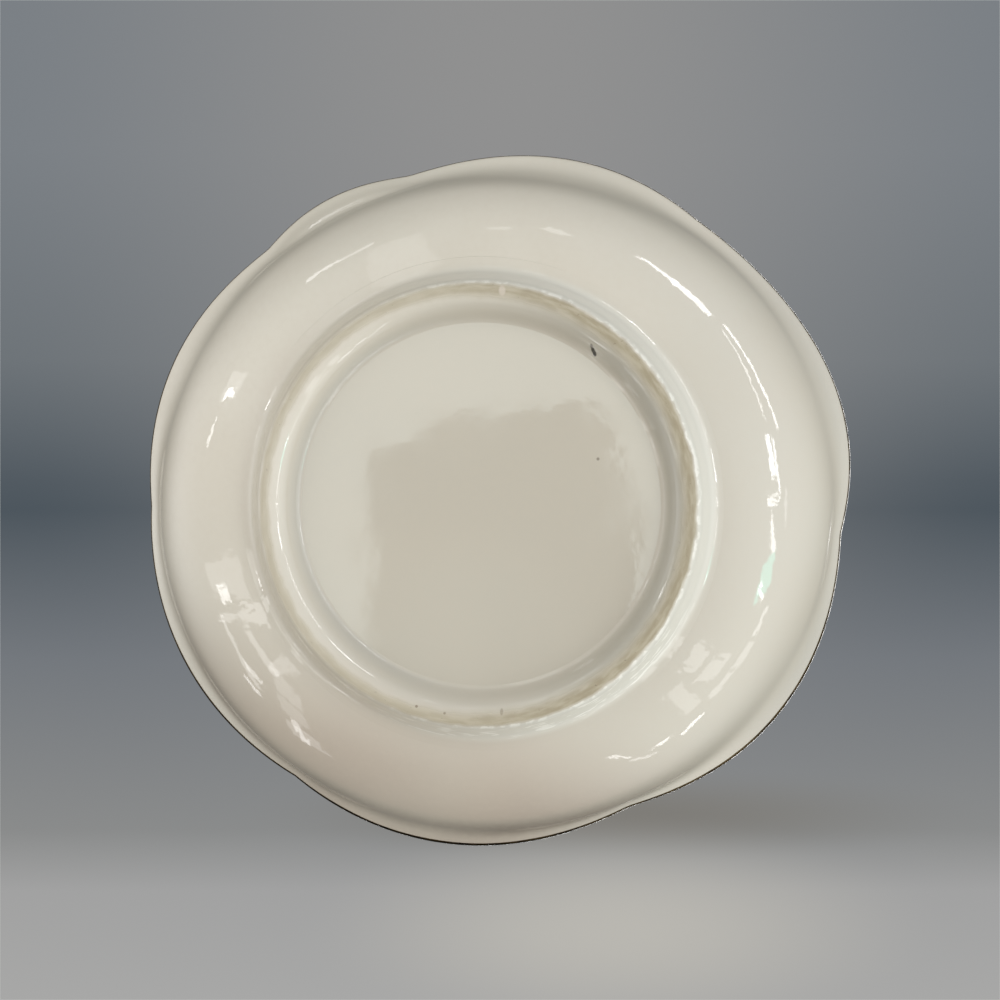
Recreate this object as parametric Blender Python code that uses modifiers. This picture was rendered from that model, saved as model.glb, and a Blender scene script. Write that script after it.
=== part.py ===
"""A small porcelain trinket dish: scalloped body, luted foot ring and a gilt line on the lip.

The dish stands on its foot, +Z up, with the origin at the middle of the foot's tread. Lengths are metres.
"""

import math

import bpy

# Foot ring
TREAD_INNER = 0.0321
TREAD_OUTER = 0.0338
TREAD_CHAMFER = 0.0003
OUTER_WALL = 0.0351
OUTER_FILLET = 0.0015
INNER_WALL = 0.0302
INNER_FILLET = 0.0016
FILLET_SWEEP = math.radians(75)
FOOT_HEIGHT = 0.0037

# Body, read along its underside from the flat base to the lip
BASE_RADIUS = 0.0340
BELLY_WIDTH = 0.0193
BELLY_HEIGHT = 0.0140
BELLY_SWEEP = math.radians(75)
GROOVE_RADIUS = 0.0050
LIP_SLOPE = math.radians(37)
LIP_RADIUS = 0.0554
FLOOR_THICKNESS = 0.0030
LIP_THICKNESS = 0.0015

# How far the belly is out of round at the groove: oval, and off the foot's middle
OVAL = 0.0011
OVAL_ANGLE = math.radians(-12)
DRIFT = 0.0005
DRIFT_ANGLE = math.radians(-130)

# Gilt line, a skin round the nose of the lip
GILT_THICKNESS = 0.0002
GILT_FROM = math.radians(-35)
GILT_TO = math.radians(60)

# Clearance between pieces that touch
JOINT_GAP = 0.0003

# Each lobe of the lip: angle and radius of the notch that it starts from, swell above the line between
# its two notches, and lean, over 1 where the swell is fullest late in the lobe
LOBES = (
    (48.0, 0.05400, 0.00110, 1.00),
    (75.5, 0.05325, 0.00120, 1.05),
    (126.0, 0.05490, 0.00200, 1.60),
    (185.0, 0.05525, 0.00225, 1.20),
    (245.5, 0.05290, 0.00130, 1.00),
    (306.0, 0.05465, 0.00160, 0.90),
    (359.0, 0.05570, 0.00165, 1.05),
)
NOTCH_SOFTNESS = 1.1

# How much the lip rises where a lobe swells, and how far below the groove the lobes begin
LIP_LIFT = 0.5
LOBE_DEPTH = 0.0010

# Facets
BODY_SEGMENTS = 108
FOOT_SEGMENTS = 72
BELLY_STEPS = 7
GROOVE_STEPS = 4
NOSE_STEPS = 3
FILLET_STEPS = 3
SHARP_ANGLE = math.radians(35)
MERGE_DISTANCE = 0.00001

# Finishes: linear colour, roughness, metallic
PORCELAIN = ((0.63, 0.59, 0.51, 1.0), 0.12, 0.0)
BARE_PORCELAIN = ((0.55, 0.50, 0.41, 1.0), 0.45, 0.0)
GILT = ((0.25, 0.17, 0.06, 1.0), 0.35, 1.0)


def clear_scene():
    for obj in list(bpy.data.objects):
        bpy.data.objects.remove(obj, do_unlink=True)


def make_material(name, finish):
    colour, roughness, metallic = finish
    material = bpy.data.materials.new(name)
    material.use_nodes = True
    shader = material.node_tree.nodes["Principled BSDF"]
    shader.inputs["Base Color"].default_value = colour
    shader.inputs["Roughness"].default_value = roughness
    shader.inputs["Metallic"].default_value = metallic
    return material


def arc(centre, radius, start, end, steps):
    """Points of an arc about centre, from angle start to angle end."""
    points = []
    for i in range(steps + 1):
        angle = start + (end - start) * i / steps
        points.append((centre[0] + radius * math.cos(angle), centre[1] + radius * math.sin(angle)))
    return points


def belly_slope(sweep):
    return math.atan2(BELLY_HEIGHT * math.sin(sweep), BELLY_WIDTH * math.cos(sweep))


def underside():
    """Stations (radius, height over the base, slope) from the axis to the end of the lip's flat."""
    stations = [(0.0, 0.0, 0.0)]
    for i in range(BELLY_STEPS + 1):
        sweep = BELLY_SWEEP * i / BELLY_STEPS
        radius = BASE_RADIUS + BELLY_WIDTH * math.sin(sweep)
        height = BELLY_HEIGHT * (1 - math.cos(sweep))
        stations.append((radius, height, belly_slope(sweep)))
    radius, height, steepest = stations[-1]
    for i in range(1, GROOVE_STEPS + 1):
        slope = steepest + (LIP_SLOPE - steepest) * i / GROOVE_STEPS
        out = GROOVE_RADIUS * (math.sin(steepest) - math.sin(slope))
        up = GROOVE_RADIUS * (math.cos(slope) - math.cos(steepest))
        stations.append((radius + out, height + up, slope))
    radius, height, _ = stations[-1]
    end = nose_radius() - lip_half() * (1 - math.sin(LIP_SLOPE))
    stations.append((end, height + (end - radius) * math.tan(LIP_SLOPE), LIP_SLOPE))
    return stations


def lip_half():
    return LIP_THICKNESS / 2


def nose_radius():
    """Outermost radius of the porcelain, inside the gilt line."""
    return LIP_RADIUS - GILT_THICKNESS - JOINT_GAP


def nose_centre():
    radius, height, slope = underside()[-1]
    return radius - lip_half() * math.sin(slope), height + lip_half() * math.cos(slope)


def wall_thickness(radius):
    share = max(0.0, (radius - BASE_RADIUS) / (nose_radius() - BASE_RADIUS))
    return FLOOR_THICKNESS + (LIP_THICKNESS - FLOOR_THICKNESS) * share


def body_profile():
    """The floor's middle, out along the bowl to the lip, round its nose and back under the body."""
    stations = underside()
    bowl = []
    for radius, height, slope in stations[:-1]:
        thickness = wall_thickness(radius)
        bowl.append((radius - thickness * math.sin(slope), height + thickness * math.cos(slope)))
    quarter = math.pi / 2
    nose = arc(nose_centre(), lip_half(), LIP_SLOPE + quarter, LIP_SLOPE - quarter, NOSE_STEPS)
    under = [(radius, height) for radius, height, _ in reversed(stations[:-1])]
    return bowl + nose + under


def gilding_profile():
    """A strip of even thickness round the nose, heights counted from the nose's centre."""
    centre = (nose_centre()[0], 0.0)
    inner = lip_half() + JOINT_GAP
    outside = arc(centre, inner + GILT_THICKNESS, GILT_TO, GILT_FROM, NOSE_STEPS)
    inside = arc(centre, inner, GILT_FROM, GILT_TO, NOSE_STEPS)
    return outside + inside + outside[:1]


def foot_profile():
    """The ring's top, down its outer flank, across the tread and up its inner flank."""
    top = FOOT_HEIGHT - JOINT_GAP
    outer_centre = (OUTER_WALL + OUTER_FILLET, top - OUTER_FILLET)
    inner_centre = (INNER_WALL - INNER_FILLET, top - INNER_FILLET)
    outer = arc(outer_centre, OUTER_FILLET, math.pi - FILLET_SWEEP, math.pi, FILLET_STEPS)
    inner = arc(inner_centre, INNER_FILLET, 0.0, FILLET_SWEEP, FILLET_STEPS)
    tread = [
        (TREAD_OUTER + TREAD_CHAMFER, TREAD_CHAMFER),
        (TREAD_OUTER, 0.0),
        (TREAD_INNER, 0.0),
        (TREAD_INNER - TREAD_CHAMFER, TREAD_CHAMFER),
    ]
    crown = [(inner[-1][0], top), (outer[0][0], top)]
    return crown + outer + tread + inner + crown[:1]


def turn(name, profile, segments, material, height, parent):
    """A profile turned once about Z, as an object at the given height under its parent."""
    mesh = bpy.data.meshes.new(name)
    closed = profile[0] == profile[-1]
    points = profile[:-1] if closed else profile
    edges = [(i, i + 1) for i in range(len(points) - 1)]
    if closed:
        edges.append((len(points) - 1, 0))
    mesh.from_pydata([(radius, 0.0, level) for radius, level in points], edges, [])
    obj = bpy.data.objects.new(name, mesh)
    obj.location.z = height
    obj.parent = parent
    parent.users_collection[0].objects.link(obj)
    screw = obj.modifiers.new("Turn", "SCREW")
    screw.axis = "Z"
    screw.angle = math.tau
    screw.steps = segments
    screw.render_steps = segments
    screw.use_merge_vertices = True
    screw.merge_threshold = MERGE_DISTANCE
    bake(obj)
    obj.data.materials.append(material)
    obj.data.shade_smooth()
    obj.data.set_sharp_from_angle(angle=SHARP_ANGLE)
    return obj


def bake(obj):
    """Keep the turned mesh itself, so that its points can be moved."""
    bpy.context.view_layer.update()
    turned = obj.evaluated_get(bpy.context.evaluated_depsgraph_get())
    profile = obj.data
    obj.data = bpy.data.meshes.new_from_object(turned)
    obj.modifiers.clear()
    bpy.data.meshes.remove(profile)
    obj.data.name = obj.name


def smooth_step(share):
    share = min(1.0, max(0.0, share))
    return share * share * (3 - 2 * share)


def lip_radius(angle):
    """Radius of the finished lip at an angle in degrees."""
    for i, (start, notch, swell, lean) in enumerate(LOBES):
        end, next_notch = LOBES[(i + 1) % len(LOBES)][:2]
        share = ((angle - start) % 360) / ((end - start) % 360)
        if share <= 1:
            break
    line = notch + (next_notch - notch) * smooth_step(share)
    return line + swell * math.sin(math.pi * share**lean) ** NOTCH_SOFTNESS


def out_of_round(angle):
    oval = OVAL * math.cos(2 * (angle - OVAL_ANGLE))
    return oval + DRIFT * math.cos(angle - DRIFT_ANGLE)


def scallop(obj):
    """Draw the belly out of round up to the groove, and the lip into its lobes towards the nose."""
    groove_radius, groove_height, _ = underside()[BELLY_STEPS + 1]
    start = groove_height - LOBE_DEPTH
    nose_height = nose_centre()[1]
    lift = obj.location.z - FOOT_HEIGHT
    for vertex in obj.data.vertices:
        x, y, z = vertex.co
        radius = math.hypot(x, y)
        angle = math.atan2(y, x)
        belly = smooth_step((radius - BASE_RADIUS) / (groove_radius - BASE_RADIUS))
        lip = smooth_step((z + lift - start) / (nose_height - start))
        lobe = lip * (lip_radius(math.degrees(angle)) - LIP_RADIUS)
        drawn = radius + lobe + (1 - lip) * belly * out_of_round(angle)
        vertex.co = (drawn * math.cos(angle), drawn * math.sin(angle), z + LIP_LIFT * lobe)


def main():
    clear_scene()
    collection = bpy.data.collections.new("trinket_dish")
    bpy.context.scene.collection.children.link(collection)
    dish = bpy.data.objects.new("trinket_dish", None)
    collection.objects.link(dish)

    glaze = make_material("glazed_porcelain", PORCELAIN)
    foot_clay = make_material("bare_porcelain", BARE_PORCELAIN)
    gilt = make_material("gilt", GILT)

    turn("foot_ring", foot_profile(), FOOT_SEGMENTS, foot_clay, 0.0, dish)
    body = turn("dish_body", body_profile(), BODY_SEGMENTS, glaze, FOOT_HEIGHT, dish)
    scallop(body)
    gilt_height = FOOT_HEIGHT + nose_centre()[1]
    gilding = turn("rim_gilding", gilding_profile(), BODY_SEGMENTS, gilt, gilt_height, dish)
    scallop(gilding)


main()
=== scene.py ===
import math

import bpy
import numpy as np
from mathutils import Matrix, Vector, noise


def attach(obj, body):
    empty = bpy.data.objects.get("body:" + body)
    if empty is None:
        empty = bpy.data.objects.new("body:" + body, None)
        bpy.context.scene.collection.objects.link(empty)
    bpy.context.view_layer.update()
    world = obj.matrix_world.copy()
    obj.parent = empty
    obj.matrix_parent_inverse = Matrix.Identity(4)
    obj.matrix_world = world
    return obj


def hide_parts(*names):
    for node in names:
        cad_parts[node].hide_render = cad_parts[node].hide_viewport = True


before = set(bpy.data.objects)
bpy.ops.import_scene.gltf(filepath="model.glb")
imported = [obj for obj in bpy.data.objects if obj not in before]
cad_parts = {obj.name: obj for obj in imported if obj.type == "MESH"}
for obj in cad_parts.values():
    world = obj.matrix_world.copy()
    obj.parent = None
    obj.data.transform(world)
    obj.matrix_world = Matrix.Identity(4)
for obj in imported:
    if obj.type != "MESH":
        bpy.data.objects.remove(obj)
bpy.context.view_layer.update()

# Foot ring: radius and height along its section, from the belly over the tread to the base. The first and
# the last point only steer the curve.
FOOT_LINE = (
    (0.0392, 0.00430),
    (0.0384, 0.00412),
    (0.0378, 0.00398),
    (0.0372, 0.00384),
    (0.0366, 0.00360),
    (0.0360, 0.00312),
    (0.0355, 0.00230),
    (0.0350, 0.00125),
    (0.0345, 0.00050),
    (0.0340, 0.00012),
    (0.0334, 0.00000),
    (0.0327, 0.00006),
    (0.0321, 0.00018),
    (0.0315, 0.00042),
    (0.0310, 0.00074),
    (0.0305, 0.00119),
    (0.0300, 0.00180),
    (0.0296, 0.00242),
    (0.0292, 0.00302),
    (0.0288, 0.00348),
    (0.0285, 0.00364),
    (0.0282, 0.00371),
    (0.0277, 0.00385),
    (0.0272, 0.00400),
)
FOOT_HEIGHT = 0.0037
FOOT_SINK = 0.0006

# Body: the values of the solids, with a softer groove
BASE_RADIUS = 0.0340
BELLY_WIDTH = 0.0193
BELLY_HEIGHT = 0.0140
BELLY_SWEEP = math.radians(75)
GROOVE_RADIUS = 0.0056
LIP_SLOPE = math.radians(37)
LIP_RADIUS = 0.0554
FLOOR_THICKNESS = 0.0030
LIP_THICKNESS = 0.0015

# How far the belly is out of round at the groove: oval, and off the foot's middle
OVAL = 0.0011
OVAL_ANGLE = math.radians(-12)
DRIFT = 0.0005
DRIFT_ANGLE = math.radians(-130)

# Each lobe of the lip: angle and radius of the notch that it starts from, swell above the line between its
# two notches, and lean, over 1 where the swell is fullest late in the lobe
LOBES = (
    (48.0, 0.05400, 0.00110, 1.00),
    (75.5, 0.05325, 0.00120, 1.05),
    (126.0, 0.05490, 0.00200, 1.60),
    (185.0, 0.05525, 0.00225, 1.20),
    (245.5, 0.05290, 0.00130, 1.00),
    (306.0, 0.05465, 0.00160, 0.90),
    (359.0, 0.05570, 0.00165, 1.05),
)
NOTCH_SOFTNESS = 1.1
LIP_LIFT = 0.5
LOBE_DEPTH = 0.0010

# One lobe's lip is pressed flatter: how far its nose comes down, the lobe's middle and its half width, how
# squarely the press ends there, and the share of the lip's height where it starts and over which it grows
LIP_DROP = 0.00075
DROP_AT = math.radians(62)
DROP_REACH = math.radians(17)
DROP_SQUARENESS = 1.5
DROP_START = 0.14
DROP_GROWTH = 0.5

# Gilt line: a film on the nose of the lip, with a wavering edge, that leans under the lip on one side
FILM = 0.00004
FILM_ROOT = 0.00002
GILT_FROM = math.radians(-42)
GILT_TO = math.radians(60)
GILT_WAVER = math.radians(4)
WAVER_RADIUS = 6
WAVER_SEED = 1.3
GILT_LEAN = math.radians(22)
GILT_WIDE_AT = math.radians(-85)

# Fineness of the meshes
SEGMENTS = 360
FLOOR_RINGS = 20
UNDER_STATIONS = 66
BOWL_STATIONS = 50
NOSE_STEPS = 14
FOOT_STEPS = 6
FOOT_ROUNDING = 24
BELLY_SAMPLES = 600
GROOVE_SAMPLES = 200
CURVE_STEP = 0.00005
CURVE_SOFTNESS = 0.0005

# Unevenness of the fired wall: height and length of each wave
WAVES = ((0.00005, 0.020), (0.000012, 0.008))
WAVE_SEED = 3.7


def smooth_step(share):
    share = np.clip(share, 0.0, 1.0)
    return share * share * (3 - 2 * share)


def lip_radius(angles):
    """Radius of the finished lip at angles in radians."""
    degrees = np.degrees(angles)
    radii = np.zeros_like(degrees)
    for i, (start, notch, swell, lean) in enumerate(LOBES):
        end, next_notch = LOBES[(i + 1) % len(LOBES)][:2]
        share = ((degrees - start) % 360) / ((end - start) % 360)
        inside = share <= 1
        share = np.clip(share, 0.0, 1.0)
        line = notch + (next_notch - notch) * smooth_step(share)
        bow = np.maximum(np.sin(math.pi * share**lean), 0.0) ** NOTCH_SOFTNESS
        radii = np.where(inside, line + swell * bow, radii)
    return radii


def out_of_round(angles):
    oval = OVAL * np.cos(2 * (angles - OVAL_ANGLE))
    return oval + DRIFT * np.cos(angles - DRIFT_ANGLE)


def lip_half():
    return LIP_THICKNESS / 2


def nose_radius():
    """Outermost radius of the porcelain, inside the gilt film."""
    return LIP_RADIUS - FILM


def running_sum(steps):
    return np.concatenate(([0.0], np.cumsum(steps)))


def underside_curve():
    """Radius, height over the base and slope along the underside, from the base's rim to the lip's end."""
    sweeps = np.linspace(0.0, BELLY_SWEEP, BELLY_SAMPLES)
    radii = BASE_RADIUS + BELLY_WIDTH * np.sin(sweeps)
    heights = BELLY_HEIGHT * (1 - np.cos(sweeps))
    slopes = np.arctan2(BELLY_HEIGHT * np.sin(sweeps), BELLY_WIDTH * np.cos(sweeps))
    steepest = slopes[-1]
    bend = np.linspace(steepest, LIP_SLOPE, GROOVE_SAMPLES)[1:]
    bend_radii = radii[-1] + GROOVE_RADIUS * (math.sin(steepest) - np.sin(bend))
    bend_heights = heights[-1] + GROOVE_RADIUS * (np.cos(bend) - math.cos(steepest))
    end = nose_radius() - lip_half() * (1 - math.sin(LIP_SLOPE))
    top = bend_heights[-1] + (end - bend_radii[-1]) * math.tan(LIP_SLOPE)
    radii = np.concatenate((radii, bend_radii, [end]))
    heights = np.concatenate((heights, bend_heights, [top]))
    slopes = np.concatenate((slopes, bend, [LIP_SLOPE]))
    lengths = running_sum(np.hypot(np.diff(radii), np.diff(heights)))
    even = np.arange(0.0, lengths[-1], CURVE_STEP)
    even_slopes = soften(np.interp(even, lengths, slopes))
    soft_radii = BASE_RADIUS + running_sum(np.cos(even_slopes[:-1]) * CURVE_STEP)
    soft_heights = running_sum(np.sin(even_slopes[:-1]) * CURVE_STEP)
    share = even / even[-1]
    soft_radii += (end - soft_radii[-1]) * share
    soft_heights += (top - soft_heights[-1]) * share
    return soft_radii, soft_heights, even_slopes


def soften(slopes):
    """Slopes averaged over a short length, so that the curve has no kink in its shine."""
    reach = int(3 * CURVE_SOFTNESS / CURVE_STEP)
    weights = np.exp(-0.5 * (np.arange(-reach, reach + 1) * CURVE_STEP / CURVE_SOFTNESS) ** 2)
    padded = np.pad(slopes, reach, mode="edge")
    return np.convolve(padded, weights / weights.sum(), mode="valid")


def wall_thickness(radii):
    share = np.clip((radii - BASE_RADIUS) / (nose_radius() - BASE_RADIUS), 0.0, 1.0)
    return FLOOR_THICKNESS + (LIP_THICKNESS - FLOOR_THICKNESS) * share


def arc(centre, radius, start, end, steps):
    angles = np.linspace(start, end, steps + 1)
    return [(centre[0] + radius * math.cos(a), centre[1] + radius * math.sin(a)) for a in angles]


CURVE = underside_curve()
NOSE_SLOPE = CURVE[2][-1]
NOSE_CENTRE = (
    CURVE[0][-1] - lip_half() * math.sin(NOSE_SLOPE),
    CURVE[1][-1] + lip_half() * math.cos(NOSE_SLOPE),
)
GROOVE_AT = BASE_RADIUS + BELLY_WIDTH * math.sin(BELLY_SWEEP)
GROOVE_HEIGHT = float(np.interp(GROOVE_AT, CURVE[0], CURVE[1]))
QUARTER = math.pi / 2


def stations(count):
    """Even picks along the underside curve, without its end, where the nose starts."""
    return np.linspace(0, len(CURVE[0]) - 1, count).astype(int)[:-1]


def body_profile():
    """The floor's middle, out along the bowl to the lip, round its nose and back underneath to the axis."""
    radii, heights, slopes = CURVE
    floor = [BASE_RADIUS * i / FLOOR_RINGS for i in range(1, FLOOR_RINGS)]
    picks = stations(BOWL_STATIONS)
    thickness = wall_thickness(radii[picks])
    bowl_radii = radii[picks] - thickness * np.sin(slopes[picks])
    bowl_heights = heights[picks] + thickness * np.cos(slopes[picks])
    profile = [(0.0, FLOOR_THICKNESS)]
    profile += [(radius, FLOOR_THICKNESS) for radius in floor]
    profile += list(zip(bowl_radii, bowl_heights))
    profile += arc(NOSE_CENTRE, lip_half(), NOSE_SLOPE + QUARTER, NOSE_SLOPE - QUARTER, NOSE_STEPS)
    picks = stations(UNDER_STATIONS)
    profile += list(zip(radii[picks], heights[picks]))[::-1]
    profile += [(radius, 0.0) for radius in reversed(floor)]
    profile.append((0.0, 0.0))
    return profile


def through(points, steps):
    """A smooth curve through points, with the first and last ones only steering it."""
    points = np.array(points)
    shares = np.linspace(0.0, 1.0, steps, endpoint=False)[:, None]
    curve = []
    for before, start, end, after in zip(points, points[1:], points[2:], points[3:]):
        lean_in, lean_out = (end - before) / 2, (after - start) / 2
        rise = 3 * (end - start) - 2 * lean_in - lean_out
        turn = 2 * (start - end) + lean_in + lean_out
        curve += list(start + shares * (lean_in + shares * (rise + shares * turn)))
    return [tuple(point) for point in curve] + [tuple(points[-2])]


def foot_profile():
    """Down the ring's outer flank from under the belly, over the tread and up the inner flank to the base."""
    top = FOOT_HEIGHT + FOOT_SINK
    crown = [(FOOT_LINE[-2][0], top), (FOOT_LINE[1][0], top + FOOT_SINK)]
    line = np.array(through(FOOT_LINE, FOOT_STEPS))
    for _ in range(FOOT_ROUNDING):
        line[1:-1] = (line[:-2] + 2 * line[1:-1] + line[2:]) / 4
    line[:, 1] -= line[:, 1].min()
    return crown + [tuple(point) for point in line]


def scalloped(points):
    """Points of the turned body moved out of round up to the groove, and on into the lobes at the nose."""
    x, y, z = points.T
    radii = np.hypot(x, y)
    angles = np.arctan2(y, x)
    belly = smooth_step((radii - BASE_RADIUS) / (GROOVE_AT - BASE_RADIUS))
    start = GROOVE_HEIGHT - LOBE_DEPTH
    share = (z - FOOT_HEIGHT - start) / (NOSE_CENTRE[1] - start)
    lip = smooth_step(share)
    lobe = lip * (lip_radius(angles) - LIP_RADIUS)
    drawn = radii + lobe + (1 - lip) * belly * out_of_round(angles)
    pressed = smooth_step(DROP_SQUARENESS * (1 - np.abs(angles - DROP_AT) / DROP_REACH))
    drop = LIP_DROP * pressed * smooth_step((share - DROP_START) / DROP_GROWTH)
    return np.stack((drawn * np.cos(angles), drawn * np.sin(angles), z + LIP_LIFT * lobe - drop), axis=1)


def uneven(points):
    """Points of the body lifted or lowered a little, as a pressed and fired wall is."""
    moved = points.copy()
    for size, length in WAVES:
        lift = [noise.noise(Vector((x / length, y / length, WAVE_SEED))) for x, y, _ in points]
        moved[:, 2] += size * np.array(lift)
    return moved


def turned(profile, closed):
    """Points and faces of a profile turned about Z. Profile points on the axis become one point each."""
    angles = np.linspace(0.0, math.tau, SEGMENTS, endpoint=False)
    points = []
    rings = []
    for radius, height in profile:
        if radius == 0.0:
            rings.append([len(points)] * SEGMENTS)
            points.append((0.0, 0.0, height))
        else:
            rings.append(list(range(len(points), len(points) + SEGMENTS)))
            points += [(radius * math.cos(a), radius * math.sin(a), height) for a in angles]
    pairs = list(zip(rings, rings[1:]))
    if closed:
        pairs.append((rings[-1], rings[0]))
    faces = []
    for upper, lower in pairs:
        for i in range(SEGMENTS):
            k = (i + 1) % SEGMENTS
            corners = [upper[i], lower[i], lower[k], upper[k]]
            faces.append(list(dict.fromkeys(corners)))
    return np.array(points), faces


def make_piece(name, points, faces, material, node):
    """A mesh piece in the row frame that stands for a CAD node."""
    mesh = bpy.data.meshes.new(name)
    mesh.from_pydata([tuple(p) for p in points], [], faces)
    mesh.validate()
    mesh.shade_smooth()
    mesh.materials.append(material)
    piece = bpy.data.objects.new(name, mesh)
    bpy.context.scene.collection.objects.link(piece)
    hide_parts(node)
    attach(piece, "root")


def make_body(material):
    points, faces = turned(body_profile(), False)
    points[:, 2] += FOOT_HEIGHT
    points = uneven(scalloped(points))
    make_piece("glazed_body", points, faces, material, "dish_body")


def make_foot(material):
    points, faces = turned(foot_profile(), True)
    make_piece("glazed_foot", uneven(points), faces, material, "foot_ring")


def gilt_section(angle):
    """Radius and height round the film's section at an angle: along its outside, then back along its root."""
    waver = GILT_WAVER * noise.noise(
        Vector((WAVER_RADIUS * math.cos(angle), WAVER_RADIUS * math.sin(angle), WAVER_SEED))
    )
    lean = GILT_LEAN * math.cos(angle - GILT_WIDE_AT)
    round_nose = np.linspace(GILT_TO + waver, GILT_FROM + waver - lean, NOSE_STEPS + 1)
    outside = [(lip_half() + FILM, b) for b in round_nose]
    root = [(lip_half() - FILM_ROOT, b) for b in round_nose[::-1]]
    nose_end = NOSE_SLOPE - QUARTER
    section = []
    for reach, b in outside + root:
        on_nose = max(b, nose_end)
        inward = lip_half() * (on_nose - b)
        radius = NOSE_CENTRE[0] + reach * math.cos(on_nose) + inward * math.sin(nose_end)
        height = FOOT_HEIGHT + NOSE_CENTRE[1] + reach * math.sin(on_nose) - inward * math.cos(nose_end)
        section.append((radius, height))
    return section


def make_gilding(material):
    points = []
    for a in np.linspace(0.0, math.tau, SEGMENTS, endpoint=False):
        points += [(radius * math.cos(a), radius * math.sin(a), height) for radius, height in gilt_section(a)]
    count = 2 * (NOSE_STEPS + 1)
    faces = []
    for i in range(SEGMENTS):
        here, there = i * count, ((i + 1) % SEGMENTS) * count
        for j in range(count):
            k = (j + 1) % count
            faces.append((here + j, here + k, there + k, there + j))
    points = uneven(scalloped(np.array(points)))
    make_piece("gilt_line", points, faces, material, "rim_gilding")


def add(tree, kind, values=None, **settings):
    """A new node with its settings, and its inputs set to values or linked to other nodes' outputs."""
    node = tree.nodes.new(kind)
    for name, value in settings.items():
        setattr(node, name, value)
    for name, value in (values or {}).items():
        if isinstance(value, bpy.types.NodeSocket):
            tree.links.new(value, node.inputs[name])
        else:
            node.inputs[name].default_value = value
    return node


def new_material(name):
    material = bpy.data.materials.new(name)
    material.use_nodes = True
    return material, material.node_tree, material.node_tree.nodes["Principled BSDF"]


def place(tree):
    """The point's place in the row frame."""
    return add(tree, "ShaderNodeTexCoord").outputs["Object"]


def axes(tree, vector):
    """X, Y and Z of a vector."""
    return add(tree, "ShaderNodeSeparateXYZ", {0: vector}).outputs


def speckle(tree, where, scale, detail=2.0, rough=0.5):
    values = {"Vector": where, "Scale": scale, "Detail": detail, "Roughness": rough}
    return add(tree, "ShaderNodeTexNoise", values).outputs["Fac"]


def remap(tree, value, low, high, to_low=0.0, to_high=1.0, smooth=True):
    kind = "SMOOTHSTEP" if smooth else "LINEAR"
    values = {"Value": value, "From Min": low, "From Max": high, "To Min": to_low, "To Max": to_high}
    return add(tree, "ShaderNodeMapRange", values, interpolation_type=kind).outputs["Result"]


def mixed(tree, share, first, second):
    """A colour between two colours or colour outputs."""
    node = add(tree, "ShaderNodeMix", {"Factor": share}, data_type="RGBA")
    for socket, value in ((node.inputs[6], first), (node.inputs[7], second)):
        if isinstance(value, bpy.types.NodeSocket):
            tree.links.new(value, socket)
        else:
            socket.default_value = (*value, 1.0)
    return node.outputs[2]


def maths(tree, operation, first, second=0.0):
    return add(tree, "ShaderNodeMath", {0: first, 1: second}, operation=operation).outputs[0]


def product(tree, *shares):
    result = shares[0]
    for share in shares[1:]:
        result = maths(tree, "MULTIPLY", result, share)
    return result


def vectors(tree, operation, first, second):
    return add(tree, "ShaderNodeVectorMath", {0: first, 1: second}, operation=operation).outputs[0]


def scaled(tree, vector, factor):
    return add(tree, "ShaderNodeVectorMath", {0: vector, 3: factor}, operation="SCALE").outputs[0]


def vector_length(tree, vector):
    return add(tree, "ShaderNodeVectorMath", {0: vector}, operation="LENGTH").outputs["Value"]


def dot(tree, first, second):
    values = {0: first, 1: second}
    return add(tree, "ShaderNodeVectorMath", values, operation="DOT_PRODUCT").outputs["Value"]


# Glaze and clay colours, linear; those noted below stand for painted light and painted shade
# Lit-side and shaded-side cream: painted light and shade across the whole glaze
LIT_SIDE_CREAM = (0.700, 0.655, 0.572)
SHADED_SIDE_CREAM = (0.562, 0.528, 0.453)
BASE_CREAM = (0.529, 0.487, 0.411)
# Painted warm shade for the dish's lower side
ROSY_SHADE_CREAM = (0.470, 0.397, 0.330)
# Painted shade, brown, for the lower lip
LIP_SHADE_BROWN = (0.270, 0.220, 0.178)
WARM_CREAM = (0.575, 0.515, 0.425)
COOL_CREAM = (0.545, 0.528, 0.462)
# Glaze edge, and painted light on the lit outer flank
EDGE_AND_LIT_FLANK_CREAM = (0.675, 0.655, 0.585)
# Glaze chips, painted glints on the foot's flank, and a painted lit lip
CHIP_AND_HIGHLIGHT_WHITE = (0.840, 0.820, 0.750)
# Painted shade for the groove under the lip and the foot's inner corner
SHADE_GREY = (0.400, 0.376, 0.318)
# Painted shade on the lip, and a painted shadow in the foot's crease
COOL_SHADE_GREY = (0.440, 0.425, 0.380)
TAN = (0.290, 0.240, 0.155)
PALE_TAN = (0.465, 0.412, 0.298)
UMBER = (0.16, 0.115, 0.07)
INK = (0.012, 0.010, 0.009)
# Old gilt, darkened far below gold's own tone as painted shade along the lip's edge; the darker one in worn
# patches
SHADED_GILT_BROWN = (0.085, 0.060, 0.028)
WORN_SHADED_GILT = (0.035, 0.026, 0.016)

# Directions of painted light and shade in the glaze: the side painted paler where light falls, and the side
# painted rosier and darker as warm shade; the reach of the paler one, and how far the rosy shade draws back
# on
# the lip: levels and distances
PAINTED_LIGHT_SIDE = (0.90, 0.44, 0.0)
ROSY_SHADE_SIDE = (0.30, -0.954, 0.0)
PAINTED_LIGHT_REACH = (-0.055, 0.055)
ROSY_SHADE_DRAW_BACK = (0.0140, 0.0162, 0.0, 0.0125)

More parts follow.
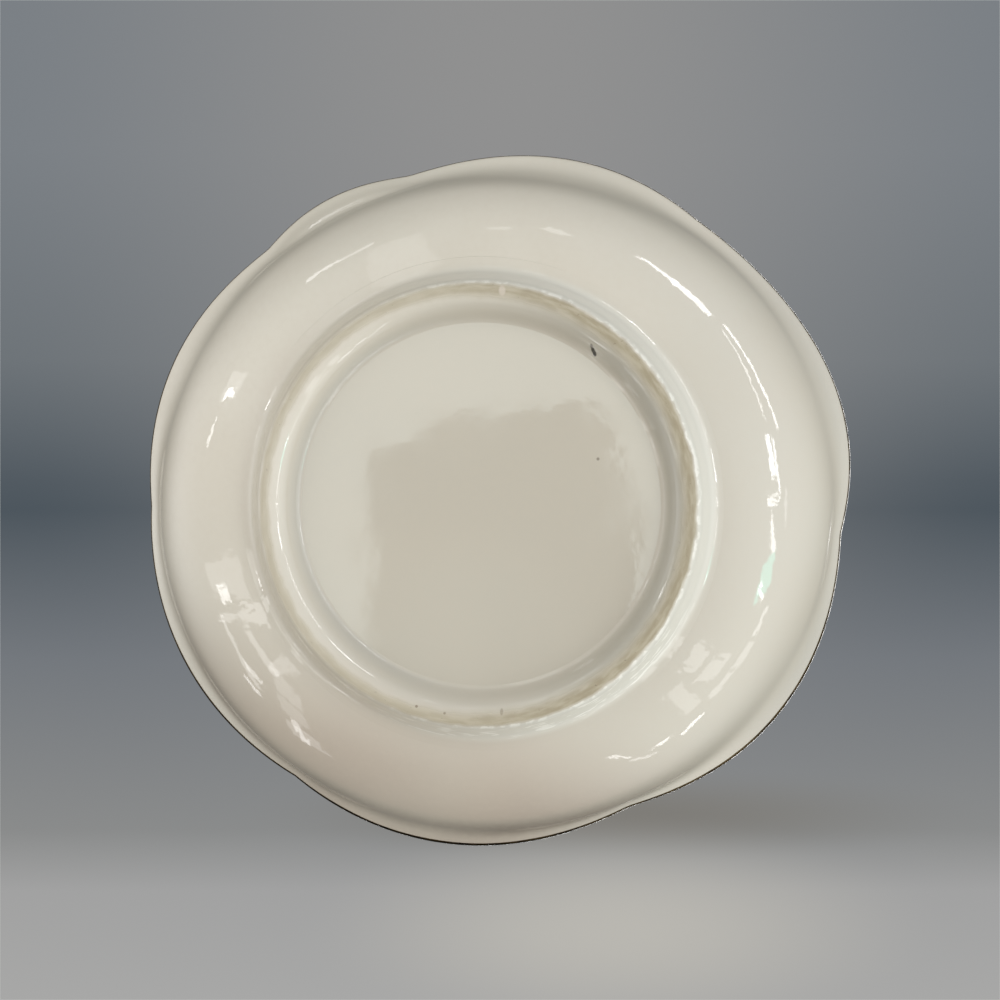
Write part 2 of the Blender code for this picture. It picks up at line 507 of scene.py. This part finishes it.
# A fade names what it reads, where it starts and ends, its strength at both, and False where it isn't eased.
# A tint is a colour and the fades that are multiplied for its share. Tints lie over each other in order.
UNDERSIDE = ("facing", -0.15, 0.15, 1.0, 0.0)
# Painted warm shade: the glaze darker and rosier towards the lower side, lit weakly and warmly from below
ROSY_SHADE = ("rosy_shade_side", 0.0240, 0.0460, 0.0, 0.9)
ROSY_SHADE_TINT = (ROSY_SHADE_CREAM, (UNDERSIDE, ROSY_SHADE))
BASE_TINT = (BASE_CREAM, (UNDERSIDE, ("out", 0.0285, 0.0325, 1.0, 0.0)))
# Painted shade in the groove under the lip, strongest at the bottom and weaker on one side
GROOVE_SHADE_TINT = (
    SHADE_GREY,
    (
        UNDERSIDE,
        ("level", 0.0095, 0.0125, 0.0, 1.0),
        ("level", 0.0146, 0.0166, 1.0, 0.0),
        ("off_middle", 0.020, 0.045, 0.05, 0.55),
        ("x", -0.045, -0.020, 0.2, 1.0),
        ("y", -0.020, 0.020, 1.5, 1.0),
    ),
)
# Painted shade: the lower lip and groove browner and darker, fading out towards one side
LIP_SHADE_TINT = (
    LIP_SHADE_BROWN,
    (
        UNDERSIDE,
        ROSY_SHADE,
        ("level", 0.0100, 0.0132, 0.0, 0.62),
        ("level", 0.0148, 0.0166, 1.0, 0.7),
        ("x", -0.042, -0.015, 0.0, 1.0),
    ),
)
# Painted shade: the lip greyer and darker on its lower side, towards one side
GREY_LIP_SHADE_TINT = (
    COOL_SHADE_GREY,
    (
        UNDERSIDE,
        ("level", 0.0150, 0.0171, 0.0, 0.45),
        ("x", -0.030, -0.046, 0.0, 1.0),
        ("y", -0.005, -0.025, 0.75, 1.35),
    ),
)
# Painted light: the lip paler on its lower side, towards the other side
LIT_LIP_TINT = (
    CHIP_AND_HIGHLIGHT_WHITE,
    (
        UNDERSIDE,
        ("level", 0.0155, 0.0170, 0.0, 0.45),
        ("x", 0.028, 0.044, 0.0, 1.0),
        ("y", 0.015, -0.005, 0.0, 1.0),
    ),
)
GLAZE_TINTS = (ROSY_SHADE_TINT, BASE_TINT, GROOVE_SHADE_TINT, LIP_SHADE_TINT, GREY_LIP_SHADE_TINT, LIT_LIP_TINT)

# Clouds in the glaze: noise scale and detail, the noise's range and the strengths there, colour
CLOUDS = (
    ((38.0, 2.0), (0.42, 0.72, 0.0, 0.30), WARM_CREAM),
    ((23.0, 1.0), (0.45, 0.72, 0.0, 0.30), COOL_CREAM),
    ((900.0, 3.0), (0.35, 0.75, 0.0, 0.12), WARM_CREAM),
)

# Skin of the glaze: noise scale, detail and share of each ripple, their height, where they calm down towards
# the base and how far, and the noise and range of the roughness
RIPPLES = ((190.0, 1.0, 1.0), (650.0, 1.0, 0.36), (2400.0, 2.0, 0.015))
RIPPLE_HEIGHT = 0.00004
RIPPLE_CALM = (0.027, 0.036, 0.22, 1.0)
GLOSS_NOISE = (120.0, 3.0)
GLOSS_RANGE = (0.3, 0.7, 0.025, 0.06)
GLAZE_IOR = 1.65

# Streaks of the foot's turning: waves per radian of turn, and per metre across, on the tread and on the
# flank, where the flank's streaks only shape painted glints
STREAK_ROUND = 11.0
STREAK_DETAIL = 3.0
TREAD_ACROSS = 1500.0
GLINT_ACROSS = 4200.0

# The foot's tread wears down to bare clay on one side. Noise scales and details, and their ranges
WORN_SIDE = (0.028, -0.020)
RAGGED_NOISE = (330.0, 4.0, 0.55)
RAGGED_RANGE = (0.25, 0.75, -0.00022, 0.00022, False)
CHIP_NOISE = (700.0, 2.0)
PIT_NOISE = (1800.0, 2.0)
PIT_RANGE = (0.68, 0.76, 0.0, 0.6)
# 1 on the worn side, which is also the lit side
ON_WORN_LIT_SIDE = ("worn", 0.0, 1.0, 0.0, 1.0, False)
# Painted shade in the foot's inner corner, strongest on one side
INNER_CORNER_SHADE_TINT = (
    SHADE_GREY,
    (
        ("out", 0.0282, 0.0300, 0.0, 1.0),
        ("out", 0.0316, 0.0332, 1.0, 0.0),
        ("x", 0.000, -0.030, 0.08, 0.95),
    ),
)
# Painted shadow along the crease where the foot meets the base, on the other side
CREASE_SHADOW_TINT = (
    COOL_SHADE_GREY,
    (
        ("out", 0.0281, 0.0287, 0.0, 1.0),
        ("out", 0.0290, 0.0304, 1.0, 0.0),
        ("x", 0.000, 0.020, 0.0, 0.55),
    ),
)
FLANK_TINT = (
    PALE_TAN,
    (
        ("out", 0.0330, 0.0340, 0.0, 1.0),
        ("out", 0.0352, 0.0368, 1.0, 0.0),
        ("worn", 0.0, 1.0, 0.30, 0.0, False),
    ),
)
# A pale ragged glaze edge beside the bare tread, and painted light over the outer flank on the lit, worn side
GLAZE_EDGE_AND_LIT_FLANK_TINT = (
    EDGE_AND_LIT_FLANK_CREAM,
    (
        ("edge", 0.0341, 0.0345, 0.0, 1.0),
        ("out", 0.0360, 0.0374, 1.0, 0.0),
        ON_WORN_LIT_SIDE,
    ),
)
CHIPPED_TINT = (
    CHIP_AND_HIGHLIGHT_WHITE,
    (
        ("edge", 0.0341, 0.0343, 0.0, 1.0),
        ("edge", 0.0345, 0.0348, 1.0, 0.0),
        ("chips", 0.45, 0.60, 0.0, 0.8),
        ON_WORN_LIT_SIDE,
    ),
)
# Painted glints: white streaks along the outer flank, on the lower part of the lit side
PAINTED_GLINT_TINT = (
    CHIP_AND_HIGHLIGHT_WHITE,
    (
        ("out", 0.0346, 0.0350, 0.0, 1.0),
        ("out", 0.0362, 0.0368, 1.0, 0.0),
        ("glint_streaks", 0.54, 0.62, 0.0, 1.0),
        ("y", -0.012, -0.024, 0.0, 0.9),
        ON_WORN_LIT_SIDE,
    ),
)
FOOT_TINTS = (INNER_CORNER_SHADE_TINT, CREASE_SHADOW_TINT, FLANK_TINT, GLAZE_EDGE_AND_LIT_FLANK_TINT, CHIPPED_TINT, PAINTED_GLINT_TINT)

# Bare clay on the tread: radius where it starts on the glazed and on the worn side, where it is in full, its
# other fades, the fades of its stain, its roughness, and the fades of the drag marks beside it
BARE_START = (0.0, 1.0, 0.0323, 0.0309, False)
BARE_FULL = 0.0332
BARE_FADES = (
    ("edge", 0.0338, 0.0344, 1.0, 0.0),
    ("worn", 0.0, 1.0, 0.65, 1.0, False),
    ("streaks", 0.30, 0.60, 0.88, 1.0),
)
STAIN_FADES = (
    ("streaks", 0.25, 0.70, 0.30, 0.80),
    ("worn", 0.0, 1.0, 0.4, 1.0, False),
)
BARE_ROUGHNESS = 0.6
DRAG_FADES = (
    ("out", 0.0342, 0.0350, 0.0, 1.0),
    ("out", 0.0364, 0.0374, 1.0, 0.0),
    ("worn", 0.3, 0.9, 0.0, 0.6),
)

# Small marks: middle and half lengths in metres, strength, colour
BODY_MARKS = (
    ((-0.01840, 0.00710, 0.0037), (0.00024, 0.00024, 0.001), 0.7, (0.20, 0.165, 0.13)),
)
FOOT_MARKS = (
    ((-0.01766, 0.02455, 0.0022), (0.00030, 0.00045, 0.0012), 0.75, (0.060, 0.045, 0.032)),
    ((-0.01784, 0.02400, 0.0026), (0.00036, 0.00055, 0.0012), 1.0, (0.022, 0.018, 0.014)),
    ((-0.01802, 0.02345, 0.0029), (0.00034, 0.00055, 0.0012), 1.0, INK),
    ((0.00940, -0.03120, 0.0002), (0.00022, 0.00022, 0.001), 0.7, UMBER),
    ((0.00500, -0.03220, 0.0002), (0.00020, 0.00020, 0.001), 0.6, UMBER),
    ((-0.00390, -0.03190, 0.0004), (0.00025, 0.00055, 0.001), 0.4, UMBER),
    ((-0.00400, 0.03300, 0.0000), (0.00050, 0.00080, 0.001), 0.8, (0.58, 0.51, 0.43)),
)
MARK_BLUR = 0.3

# Gilt: noise scale and detail, and ranges, of its wear, roughness and brush marks
GILT_WEAR_NOISE = (300.0, 4.0)
GILT_WEAR_RANGE = (0.45, 0.7)
GILT_GLOSS_NOISE = (500.0, 3.0)
GILT_GLOSS_RANGE = (0.3, 0.7, 0.22, 0.40)
BRUSH_NOISE = (2600.0, 3.0)
BRUSH_STRENGTH = 0.5
BRUSH_HEIGHT = 0.00002


def faded(tree, readings, fades):
    """All fades multiplied, each on the reading that it names."""
    return product(tree, *(remap(tree, readings[name], *values) for name, *values in fades))


def tinted(tree, readings, colour, tints):
    for tone, fades in tints:
        colour = mixed(tree, faded(tree, readings, fades), colour, tone)
    return colour


def glaze_colour(tree, where):
    """Cream glaze, faintly clouded, painted paler towards the lit side. Under the dish it is deeper inside
    the foot, with painted shade: warm on the lower side, in the groove and on the lip, and a painted lighter
    lip on one side.
    """
    x, y, level = axes(tree, where)
    _, _, facing = axes(tree, add(tree, "ShaderNodeTexCoord").outputs["Normal"])
    draw_back = remap(tree, level, *ROSY_SHADE_DRAW_BACK)
    readings = {
        "x": x,
        "y": y,
        "level": level,
        "facing": facing,
        "out": distance_out(tree, where),
        "off_middle": maths(tree, "ABSOLUTE", y),
        # Where the painted warm shade lies
        "rosy_shade_side": maths(tree, "SUBTRACT", dot(tree, where, ROSY_SHADE_SIDE), draw_back),
    }
    # Painted light and shade: the glaze paler towards the lit side, darker towards the other
    painted_light_share = remap(tree, dot(tree, where, PAINTED_LIGHT_SIDE), *PAINTED_LIGHT_REACH, smooth=False)
    colour = tinted(tree, readings, mixed(tree, painted_light_share, SHADED_SIDE_CREAM, LIT_SIDE_CREAM), GLAZE_TINTS)
    for grain, strength, tone in CLOUDS:
        colour = mixed(tree, remap(tree, speckle(tree, where, *grain), *strength), colour, tone)
    return colour


def marked(tree, where, colour, marks):
    """A colour with small dark or pale marks on it."""
    for middle, size, strength, tone in marks:
        mark = spot(tree, where, middle, size, MARK_BLUR)
        colour = mixed(tree, product(tree, mark, strength), colour, tone)
    return colour


def spot(tree, where, centre, size, blur):
    """1 inside a small ellipsoid mark, 0 outside it. Size gives its half lengths."""
    shifted = vectors(tree, "SUBTRACT", where, centre)
    distance = vector_length(tree, vectors(tree, "DIVIDE", shifted, size))
    return remap(tree, distance, 1.0 - blur, 1.0 + blur, 1.0, 0.0)


def distance_out(tree, where):
    """How far a point is from the dish's axis."""
    x, y, _ = axes(tree, where)
    return vector_length(tree, add(tree, "ShaderNodeCombineXYZ", {"X": x, "Y": y}).outputs[0])


def turning_streaks(tree, where, out, spacing):
    """Noise drawn out along the foot's turn, as a wheel leaves it."""
    along = scaled(tree, where, maths(tree, "DIVIDE", STREAK_ROUND, out))
    flat = vectors(tree, "MULTIPLY", along, (1.0, 1.0, 0.0))
    across = add(tree, "ShaderNodeCombineXYZ", {"Z": product(tree, out, spacing)}).outputs[0]
    return speckle(tree, vectors(tree, "ADD", flat, across), 1.0, STREAK_DETAIL)


def bump(tree, shader, height, strength, distance):
    values = {"Height": height, "Strength": strength, "Distance": distance}
    normal = add(tree, "ShaderNodeBump", values).outputs["Normal"]
    tree.links.new(normal, shader.inputs["Normal"])


def glaze_skin(tree, shader, where, dragged=0.0):
    """A fired glaze's roughness, and its soft ripple, calmer on the flat base. Dragged adds to its height."""
    height = dragged
    for scale, detail, share in RIPPLES:
        height = maths(tree, "ADD", product(tree, speckle(tree, where, scale, detail), share), height)
    bump(tree, shader, height, remap(tree, distance_out(tree, where), *RIPPLE_CALM), RIPPLE_HEIGHT)
    return remap(tree, speckle(tree, where, *GLOSS_NOISE), *GLOSS_RANGE)


def finish_surface(tree, shader, colour, roughness):
    tree.links.new(colour, shader.inputs["Base Color"])
    tree.links.new(roughness, shader.inputs["Roughness"])


def make_glaze():
    material, tree, shader = new_material("cream_glaze")
    where = place(tree)
    colour = marked(tree, where, glaze_colour(tree, where), BODY_MARKS)
    finish_surface(tree, shader, colour, glaze_skin(tree, shader, where))
    shader.inputs["IOR"].default_value = GLAZE_IOR
    return material


def make_foot_glaze():
    """The glaze on the foot's flanks, and the bare clay of its tread, wider and browner on the worn side.
    Painted shade darkens the inner corner and crease, painted light brightens the lit outer flank, with
    painted glints along it.
    """
    material, tree, shader = new_material("foot_glaze")
    where = place(tree)
    x, y, _ = axes(tree, where)
    out = distance_out(tree, where)
    worn = remap(tree, x, *WORN_SIDE)
    edge = maths(tree, "ADD", out, remap(tree, speckle(tree, where, *RAGGED_NOISE), *RAGGED_RANGE))
    streaks = turning_streaks(tree, where, out, TREAD_ACROSS)
    readings = {
        "x": x,
        "y": y,
        "out": out,
        "worn": worn,
        "edge": edge,
        "streaks": streaks,
        # Streaks that carry the painted glints on the flank
        "glint_streaks": turning_streaks(tree, where, out, GLINT_ACROSS),
        "chips": speckle(tree, where, *CHIP_NOISE),
    }
    colour = tinted(tree, readings, glaze_colour(tree, where), FOOT_TINTS)
    begun = remap(tree, edge, remap(tree, worn, *BARE_START), BARE_FULL)
    bare = product(tree, begun, faded(tree, readings, BARE_FADES))
    clay = mixed(tree, faded(tree, readings, STAIN_FADES), PALE_TAN, TAN)
    clay = mixed(tree, remap(tree, speckle(tree, where, *PIT_NOISE), *PIT_RANGE), clay, UMBER)
    colour = marked(tree, where, mixed(tree, bare, colour, clay), FOOT_MARKS)
    dragged = product(tree, faded(tree, readings, DRAG_FADES), streaks)
    gloss = glaze_skin(tree, shader, where, dragged)
    rough = add(tree, "ShaderNodeMix", {"Factor": bare, 2: gloss, 3: BARE_ROUGHNESS}, data_type="FLOAT")
    finish_surface(tree, shader, colour, rough.outputs[0])
    shader.inputs["IOR"].default_value = GLAZE_IOR
    return material


def make_gilt():
    material, tree, shader = new_material("old_gilt")
    where = place(tree)
    wear = remap(tree, speckle(tree, where, *GILT_WEAR_NOISE), *GILT_WEAR_RANGE)
    rough = remap(tree, speckle(tree, where, *GILT_GLOSS_NOISE), *GILT_GLOSS_RANGE)
    # Painted shade: both gilt colours are darkened far below gold's
    finish_surface(tree, shader, mixed(tree, wear, SHADED_GILT_BROWN, WORN_SHADED_GILT), rough)
    bump(tree, shader, speckle(tree, where, *BRUSH_NOISE), BRUSH_STRENGTH, BRUSH_HEIGHT)
    shader.inputs["Metallic"].default_value = 1.0
    return material


make_body(make_glaze())
make_foot(make_foot_glaze())
make_gilding(make_gilt())

# Camera, under the dish and looking up at its foot
AIM = Vector((-0.00116, 0.00023, 0.0168))
DISTANCE = 0.6
LEAN_SIDE = math.radians(8.5)
LEAN_UP = math.radians(2.0)
SENSOR = 36.0
PIXELS_PER_METRE = 6314.0
FRAME_PIXELS = 1000.0


def view_axes():
    """The camera's directions to the right, up and back."""
    back = Vector((-math.tan(LEAN_SIDE), math.tan(LEAN_UP), -1.0)).normalized()
    right = (-back).cross(Vector((0, 1, 0))).normalized()
    return right, right.cross(-back), back


def turned_to(right, up, back):
    return Matrix((right, up, back)).transposed().to_4x4()


def make_camera():
    right, up, back = view_axes()
    data = bpy.data.cameras.new("camera")
    data.sensor_width = SENSOR
    data.lens = SENSOR * PIXELS_PER_METRE * DISTANCE / FRAME_PIXELS
    camera = bpy.data.objects.new("camera", data)
    camera.matrix_world = Matrix.Translation(AIM + DISTANCE * back) @ turned_to(right, up, back)
    bpy.context.scene.collection.objects.link(camera)
    bpy.context.scene.camera = camera


def towards_lamp(right, up):
    """Direction from the dish to a lamp under it: degrees off the axis to the camera's right, and up."""
    off, turn = math.radians(math.hypot(right, up)), math.atan2(up, right)
    return Vector((-math.sin(off) * math.cos(turn), math.sin(off) * math.sin(turn), -math.cos(off)))


# Window panes and reflectors round the dish: both ends and width, degrees, then radiance and colour
WHITE = (1.0, 1.0, 1.0)
DAYLIGHT = (0.95, 0.98, 1.0)
BLUISH = (0.78, 1.0, 1.0)
GREENISH = (0.12, 1.0, 0.80)
LAMP_DISTANCE = 3.0
LAMPS = {
    "front_pane": ((-9.3, 5.0), (-9.3, -11.0), 15.0, 1.15, BLUISH),
    "right_pane_a": ((22.3, 51.7), (30.1, 43.5), 2.6, 8.64, WHITE),
    "right_pane_b": ((28.3, 45.4), (35.0, 38.2), 4.4, 8.64, WHITE),
    "right_bar": ((40.6, 38.2), (52.2, 13.8), 1.8, 7.92, WHITE),
    "right_bar_inner": ((37.4, 34.6), (43.3, 14.5), 1.2, 5.04, WHITE),
    "right_window": ((41.9, 10.3), (43.5, 2.9), 4.0, 10.0, DAYLIGHT),
    "right_sill": ((37.7, -2.0), (46.7, -1.9), 1.2, 6.48, WHITE),
    "right_low_bar": ((40.7, -4.4), (45.6, -12.0), 2.0, 6.48, WHITE),
    "green_pane": ((43.2, -12.4), (44.0, -20.9), 8.0, 3.0, GREENISH),
    "green_sill": ((40.4, -17.4), (45.3, -22.5), 1.0, 8.6, WHITE),
    "right_foot_bar": ((49.9, -25.3), (48.3, -31.7), 3.0, 2.88, WHITE),
    "right_far_bar": ((53.1, 0.9), (53.6, -7.0), 2.0, 1.80, WHITE),
    "left_bar": ((-58.1, 18.9), (-50.3, 16.2), 2.2, 8.0, WHITE),
    "left_glow": ((-60.1, 21.6), (-47.3, 16.6), 5.0, 1.44, WHITE),
    "left_low": ((-61.6, 10.2), (-58.1, 13.7), 2.0, 5.0, WHITE),
    "left_dot": ((-54.2, -18.1), (-46.5, -15.5), 2.3, 5.76, WHITE),
    "upper_bar_a": ((-48.3, 46.7), (-41.8, 50.9), 2.8, 3.60, WHITE),
    "upper_bar_b": ((-41.8, 50.9), (-34.5, 55.6), 2.4, 2.20, WHITE),
    "upper_panel": ((-28.5, 52.5), (-16.0, 21.5), 9.0, 0.65, WHITE),
    "low_left_line": ((-62.4, -25.6), (-45.2, -18.7), 1.0, 2.16, WHITE),
    "low_left_post": ((-57.1, -22.7), (-54.2, -40.4), 3.0, 2.2, WHITE),
    "low_left_pane": ((-42.9, -19.6), (-38.9, -27.3), 5.0, 2.0, WHITE),
    "low_left_dot_a": ((-54.9, -32.5), (-50.1, -35.5), 3.0, 3.60, WHITE),
    "low_left_dot_b": ((-60.9, -39.2), (-56.9, -44.4), 3.0, 4.32, WHITE),
    "low_left_edge": ((-46.3, -45.3), (-51.2, -59.1), 1.4, 3.6, WHITE),
    "low_right_pane_a": ((18.3, -24.2), (20.6, -21.2), 11.0, 1.7, WHITE),
    "low_right_pane_b": ((29.9, -34.6), (32.8, -29.4), 12.0, 1.6, WHITE),
    "low_right_pane_c": ((48.5, -33.6), (44.6, -40.0), 5.5, 1.8, WHITE),
    "low_right_pane_d": ((43.9, -40.3), (38.4, -46.4), 4.5, 1.9, WHITE),
    "low_right_blob": ((40.4, -54.5), (36.5, -61.2), 2.2, 7.0, WHITE),
    "low_right_bar_a": ((27.8, -59.6), (31.7, -58.4), 2.4, 7.0, WHITE),
    "low_right_dot": ((23.0, -61.6), (29.9, -65.8), 1.6, 3.0, WHITE),
    "low_right_bar_b": ((14.0, -51.4), (21.9, -58.7), 1.0, 5.0, WHITE),
    "right_window_edge": ((45.9, 10.3), (47.0, -0.6), 1.6, 8.0, DAYLIGHT),
    "low_left_panel": ((-60.6, -16.3), (-33.1, -9.7), 5.0, 1.2, WHITE),
    "low_left_inner": ((-45.2, -18.7), (-27.7, -11.5), 1.8, 2.2, WHITE),
    "low_left_sill": ((-39.9, -27.0), (-27.6, -18.4), 2.4, 1.7, WHITE),
    "low_left_tail": ((-37.3, -26.8), (-41.2, -35.5), 5.0, 1.3, WHITE),
    "low_left_tail_end": ((-41.9, -36.5), (-45.8, -45.2), 5.0, 1.1, WHITE),
    "low_left_blade": ((-47.4, -49.8), (-49.8, -58.6), 7.0, 1.4, WHITE),
    "low_right_strip": ((17.1, -28.1), (33.5, -46.3), 3.2, 1.4, WHITE),
    "upper_blob": ((2.0, 52.4), (5.0, 54.7), 5.0, 1.8, WHITE),
    "upper_dash": ((-9.2, 51.2), (-4.8, 51.8), 3.0, 1.2, WHITE),
}


def make_lamp(name, start, end, width, radiance, colour):
    """A flat lamp facing the dish."""
    first, last = towards_lamp(*start), towards_lamp(*end)
    out = (first + last).normalized()
    along = (last - first).normalized()
    along = (along - along.dot(out) * out).normalized()
    data = bpy.data.lights.new(name, "AREA")
    data.shape = "RECTANGLE"
    data.size = LAMP_DISTANCE * first.angle(last)
    data.size_y = LAMP_DISTANCE * math.radians(width)
    data.energy = radiance * math.pi * data.size * data.size_y
    data.color = colour
    lamp = bpy.data.objects.new(name, data)
    turn = turned_to(along, out.cross(along), out)
    lamp.matrix_world = Matrix.Translation(AIM + LAMP_DISTANCE * out) @ turn
    lamp.visible_camera = False
    bpy.context.scene.collection.objects.link(lamp)


# Soft sun over the dish: strength, spread and tilt
SUN_STRENGTH = 2.6
SUN_SPREAD = math.radians(40)
SUN_TILT = (math.radians(5), math.radians(-6), 0.0)


def make_sun():
    data = bpy.data.lights.new("overhead", "SUN")
    data.energy = SUN_STRENGTH
    data.angle = SUN_SPREAD
    sun = bpy.data.objects.new("overhead", data)
    sun.rotation_euler = SUN_TILT
    bpy.context.scene.collection.objects.link(sun)


# Soft light from all round: degrees to the camera's right and up, spread in degrees, colour
GLOWS = (
    (0.0, 0.0, 18.0, (0.55, 0.47, 0.45)),
    (27.0, 0.0, 16.0, (0.30, 0.345, 0.37)),
    (-27.0, 0.0, 16.0, (0.14, 0.13, 0.16)),
    (58.0, 0.0, 22.0, (0.96, 1.01, 1.06)),
    (41.0, 41.0, 22.0, (0.62, 0.58, 0.61)),
    (0.0, 58.0, 22.0, (0.28, 0.30, 0.29)),
    (-41.0, 41.0, 22.0, (0.59, 0.62, 0.57)),
    (-58.0, 0.0, 22.0, (0.71, 0.69, 0.63)),
    (41.0, -41.0, 22.0, (1.32, 1.30, 1.20)),
    (88.0, 0.0, 16.0, (0.48, 0.52, 0.50)),
    (-88.0, 0.0, 16.0, (1.45, 1.45, 1.45)),
    (44.0, -76.0, 16.0, (0.80, 0.80, 0.80)),
    (180.0, 0.0, 16.0, (2.00, 2.00, 1.96)),
)
SKY_BASE = (0.01, 0.01, 0.01)
SKY_SEEN = (0.70, 0.70, 0.69)


def make_world():
    """A dim sky with soft glows in it, and a plain pale one where the camera sees it."""
    world = bpy.data.worlds.new("studio")
    bpy.context.scene.world = world
    world.use_nodes = True
    tree = world.node_tree
    way = add(tree, "ShaderNodeTexCoord").outputs["Generated"]
    light = SKY_BASE
    for right, up, spread, colour in GLOWS:
        short = maths(tree, "SUBTRACT", dot(tree, way, towards_lamp(right, up)), 1.0)
        power = maths(tree, "EXPONENT", product(tree, short, 1 / math.radians(spread) ** 2))
        light = vectors(tree, "ADD", light, scaled(tree, colour, power))
    seen = add(tree, "ShaderNodeLightPath").outputs["Is Camera Ray"]
    tree.links.new(mixed(tree, seen, light, SKY_SEEN), tree.nodes["Background"].inputs["Color"])


def make_sheet(name, corners, material):
    mesh = bpy.data.meshes.new(name)
    mesh.from_pydata(corners, [], [range(len(corners))])
    mesh.materials.append(material)
    sheet = bpy.data.objects.new(name, mesh)
    bpy.context.scene.collection.objects.link(sheet)


def one_sided(tree, surface):
    """Show a surface to the camera from its front only, and let all other light pass."""
    seen = add(tree, "ShaderNodeLightPath").outputs["Is Camera Ray"]
    back = add(tree, "ShaderNodeNewGeometry").outputs["Backfacing"]
    shown = product(tree, seen, maths(tree, "SUBTRACT", 1.0, back))
    clear = add(tree, "ShaderNodeBsdfTransparent").outputs[0]
    mix = add(tree, "ShaderNodeMixShader", {0: shown, 1: clear, 2: surface})
    output = next(n for n in tree.nodes if n.type == "OUTPUT_MATERIAL")
    tree.links.new(mix.outputs[0], output.inputs["Surface"])


# Corners of a square sheet, and the floor
SQUARE = ((-1, -1), (1, -1), (1, 1), (-1, 1))
FLOOR_COLOUR = (0.60, 0.60, 0.585, 1.0)
FLOOR_ROUGHNESS = 0.8
FLOOR_REACH = 4.0
FLOOR_LEVEL = -0.0002


def make_floor():
    """A pale floor under the dish, seen from above."""
    material, tree, shader = new_material("pale_floor")
    shader.inputs["Base Color"].default_value = FLOOR_COLOUR
    shader.inputs["Roughness"].default_value = FLOOR_ROUGHNESS
    one_sided(tree, shader.outputs[0])
    make_sheet("floor", [(FLOOR_REACH * a, FLOOR_REACH * b, FLOOR_LEVEL) for a, b in SQUARE], material)


# A dark card beside the camera, which the glossy base mirrors: corners to the camera's right and up of the
# axis, and its level
CARD = (
    (-0.1254, -0.0110),
    (-0.1204, -0.0010),
    (-0.1074, 0.0030),
    (-0.0714, 0.0080),
    (-0.0554, 0.0090),
    (-0.0484, 0.0040),
    (-0.0454, -0.0080),
    (-0.0414, -0.0839),
    (-0.1284, -0.0839),
)
CARD_LEVEL = -0.5758
CARD_COLOUR = (0.02, 0.02, 0.02, 1.0)
CARD_ROUGHNESS = 0.9


def make_card():
    material, _, shader = new_material("dark_card")
    shader.inputs["Base Color"].default_value = CARD_COLOUR
    shader.inputs["Roughness"].default_value = CARD_ROUGHNESS
    make_sheet("card", [(-right, up, CARD_LEVEL) for right, up in CARD], material)


# Backdrop tones from its foot to its top: share of the height, linear colour
BACKDROP = (
    (0.00, (0.390, 0.390, 0.385)),
    (0.11, (0.360, 0.360, 0.360)),
    (0.17, (0.255, 0.260, 0.260)),
    (0.34, (0.175, 0.190, 0.208)),
    (0.49, (0.075, 0.094, 0.112)),
    (0.52, (0.085, 0.104, 0.122)),
    (0.64, (0.155, 0.174, 0.190)),
    (0.85, (0.196, 0.215, 0.235)),
)
# Soft patches on it, all painted light and shade: a glow on the wall, a pool of light on the floor and a
# shadow on the floor behind the dish. Middle and half lengths as shares of its sides, blur, colour
WALL_GLOW = ((0.44, 0.95, 0.0), (0.32, 0.55, 1.0), 0.9, (0.30, 0.295, 0.29))
FLOOR_GLOW = ((0.36, 0.07, 0.0), (0.20, 0.07, 1.0), 0.8, (0.50, 0.485, 0.445))
FLOOR_SHADE = ((0.36, 0.185, 0.0), (0.22, 0.028, 1.0), 0.9, (0.205, 0.195, 0.175))
BACKDROP_LEVEL = 0.25


def graded(tree, share):
    """The backdrop's tone at a share of its height."""
    node = add(tree, "ShaderNodeValToRGB", {"Fac": share})
    elements = node.color_ramp.elements
    while len(elements) < len(BACKDROP):
        elements.new(0.5)
    for element, (position, colour) in zip(elements, BACKDROP):
        element.position = position
        element.color = (*colour, 1.0)
    return node.outputs["Color"]


def make_backdrop():
    """A graded backdrop over the dish, seen from below past the lip, with a painted glow on its wall, and a
    painted shadow and a painted pool of light on its floor.
    """
    material, tree, shader = new_material("graded_backdrop")
    tree.nodes.remove(shader)
    where = add(tree, "ShaderNodeTexCoord").outputs["Generated"]
    _, height, _ = axes(tree, where)
    colour = graded(tree, height)
    for middle, size, blur, tone in (WALL_GLOW, FLOOR_SHADE, FLOOR_GLOW):
        colour = mixed(tree, spot(tree, where, middle, size, blur), colour, tone)
    one_sided(tree, add(tree, "ShaderNodeEmission", {"Color": colour}).outputs[0])
    right, up, back = view_axes()
    centre = AIM - BACKDROP_LEVEL * back
    half = (DISTANCE + BACKDROP_LEVEL) * FRAME_PIXELS / 2 / (PIXELS_PER_METRE * DISTANCE)
    make_sheet("backdrop", [centre + half * (a * right + b * up) for a, b in SQUARE], material)


make_camera()
make_world()
make_floor()
make_backdrop()
make_card()
for name, values in LAMPS.items():
    make_lamp(name, *values)
make_sun()
bpy.context.scene.view_settings.view_transform = "Standard"
